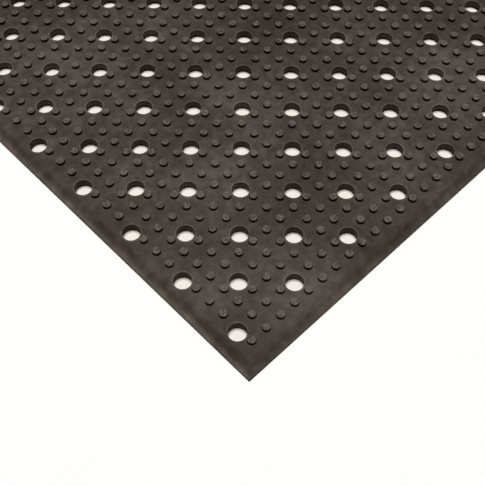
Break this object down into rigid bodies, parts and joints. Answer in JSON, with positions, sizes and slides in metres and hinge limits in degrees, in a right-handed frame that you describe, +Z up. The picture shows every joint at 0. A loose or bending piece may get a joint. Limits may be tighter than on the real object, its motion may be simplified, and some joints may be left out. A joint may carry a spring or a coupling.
{
  "type": "anti fatigue mat",
  "caption": "Rectangular black rubber anti fatigue mat with round drain holes, small round studs on both faces and a bevelled border on all four sides.",
  "frame": {"origin": "middle of the rectangular footprint, on the floor that the mat lies on", "axes": "+X along the long side, +Y along the short side, +Z up through the walking face"},
  "size_m": [0.9144, 0.6096, 0.0095],
  "materials": {
    "mat_rubber": "matte moulded rubber with a faint sheen on the stud tops"
  },
  "bodies": {
    "root": {"perforated_web": "mat_rubber", "front_edge_ramp": "mat_rubber", "rear_edge_ramp": "mat_rubber", "left_edge_ramp": "mat_rubber", "right_edge_ramp": "mat_rubber", "walking_studs": "mat_rubber", "underside_studs": "mat_rubber", "underside_bearing_studs": "mat_rubber"}
  },
  "joints": []
}
